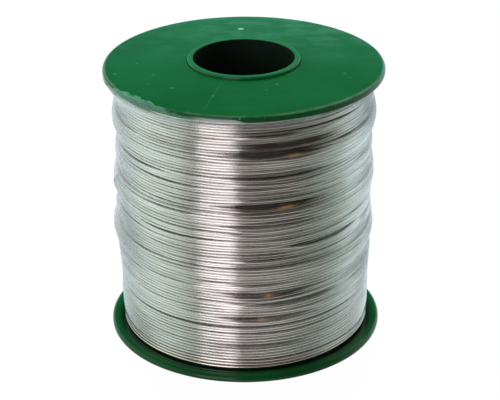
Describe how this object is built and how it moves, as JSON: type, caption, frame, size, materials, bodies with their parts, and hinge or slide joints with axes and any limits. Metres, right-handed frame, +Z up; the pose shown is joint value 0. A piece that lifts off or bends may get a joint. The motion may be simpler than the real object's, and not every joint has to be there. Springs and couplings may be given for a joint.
{
  "type": "solder wire spool",
  "caption": "Full reel of bright solder wire on a green plastic spool with flat flanges and a plain bore, held in a clear film sleeve, for feeding wire at an electronics bench.",
  "frame": {"origin": "on the reel's axis, in the surface that the reel stands on", "axes": "+Z up along the reel's axis, through the raised end of the tube; -Y towards the side seen in the picture"},
  "size_m": [0.067, 0.0672, 0.0693],
  "materials": {
    "reel_plastic": "moulded gloss",
    "solder_wire": "bright drawn tin alloy",
    "clear_film": "clear glossy film"
  },
  "bodies": {
    "root": {"barrel": "reel_plastic", "top_flange": "reel_plastic", "bottom_flange": "reel_plastic", "inner_winding": "solder_wire", "outer_winding": "solder_wire", "raised_turns": "solder_wire", "wire_tail": "solder_wire", "film_sleeve": "clear_film"}
  },
  "joints": []
}
